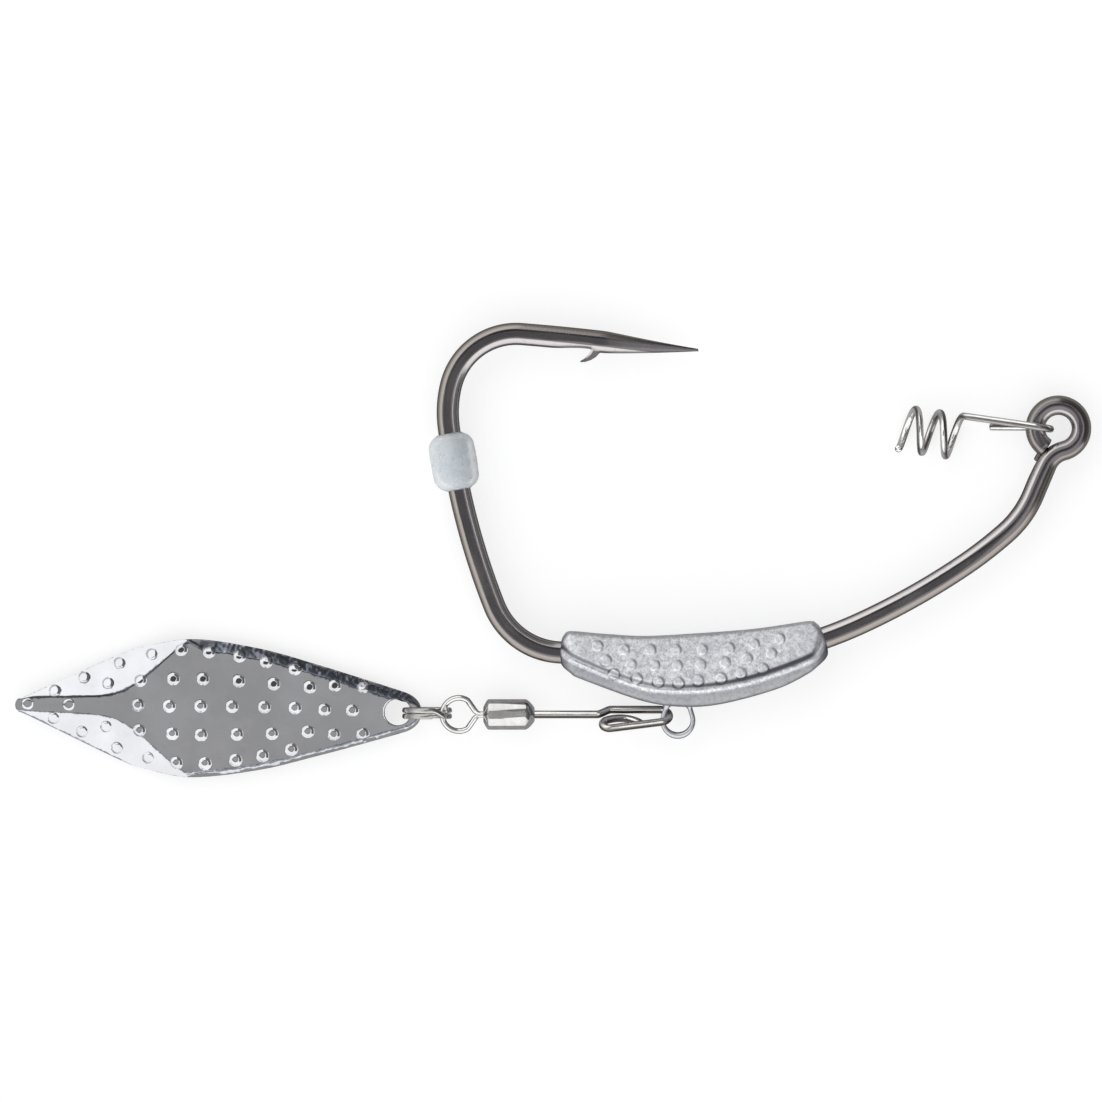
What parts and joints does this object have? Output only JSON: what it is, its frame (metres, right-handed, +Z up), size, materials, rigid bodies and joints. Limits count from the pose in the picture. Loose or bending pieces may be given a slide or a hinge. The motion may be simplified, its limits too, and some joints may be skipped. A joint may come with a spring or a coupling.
{
  "type": "weighted swimbait hook with spinner blade",
  "caption": "Weighted wide-gap swimbait hook with a screw keeper on its eye, a bead on its back leg, and a dimpled spinner blade hung on a swivel clip below the belly weight.",
  "frame": {"origin": "under the middle of the whole lure's box, on the surface it lies on", "axes": "+X from the blade's tip towards the hook's eye, +Y from the belly weight towards the hook's point, +Z up from the surface it lies on, square to the hook's plane"},
  "size_m": [0.1198, 0.0506, 0.0058],
  "materials": {
    "hook_wire": "smoke-dark nickel plate on forged high-carbon steel wire",
    "cast_lead": "bright unpainted cast lead with a fine grain",
    "hanger_wire": "dull pressed wire",
    "silicone": "cloudy translucent silicone with light scratches",
    "keeper_wire": "bright drawn stainless wire",
    "clip_wire": "nickel-plated spring wire",
    "swivel_metal": "nickel-plated and faceted",
    "swivel_wire": "nickel-plated wire",
    "ring_wire": "nickel-plated flat wire",
    "blade_sheet": "mirror nickel plate on stamped brass sheet"
  },
  "bodies": {
    "hook": {"hook": "hook_wire", "belly_weight": "cast_lead", "weight_hanger": "hanger_wire"},
    "bead": {"stopper_bead": "silicone"},
    "keeper": {"bait_keeper": "keeper_wire"},
    "clip": {"clip_wire": "clip_wire"},
    "barrel": {"swivel_barrel": "swivel_metal"},
    "eye": {"swivel_eye": "swivel_wire"},
    "ring": {"split_ring": "ring_wire"},
    "blade": {"spinner_blade": "blade_sheet"}
  },
  "joints": [
    {"name": "bead_slide", "type": "hinge", "parent": "hook", "child": "bead", "pos_m": [0.06959, 0.02382, 0.0029], "axis": [0, 0, 1], "range_deg": [-0.5, 9]},
    {"name": "keeper_swing", "type": "hinge", "parent": "hook", "child": "keeper", "pos_m": [0.05627, 0.01358, 0.0029], "axis": [0, 0, 1], "range_deg": [-230, 38]},
    {"name": "clip_swing", "type": "hinge", "parent": "hook", "child": "clip", "pos_m": [0.01392, -0.01892, 0.0029], "axis": [0, 0, 1], "range_deg": [-2, 175]},
    {"name": "barrel_spin", "type": "hinge", "parent": "clip", "child": "barrel", "pos_m": [-0.00488, -0.01827, 0.0025], "axis": [1, 0, 0], "continuous": true},
    {"name": "eye_spin", "type": "hinge", "parent": "barrel", "child": "eye", "pos_m": [-0.00748, -0.01827, 0.0025], "axis": [1, 0, 0], "continuous": true},
    {"name": "ring_swing", "type": "hinge", "parent": "eye", "child": "ring", "pos_m": [-0.01236, -0.01827, 0.0025], "axis": [0, 1, 0], "range_deg": [-90, 90]},
    {"name": "blade_swing", "type": "hinge", "parent": "ring", "child": "blade", "pos_m": [-0.01399, -0.01812, 0.00282], "axis": [0, -1, 0], "range_deg": [-90, 90]}
  ]
}
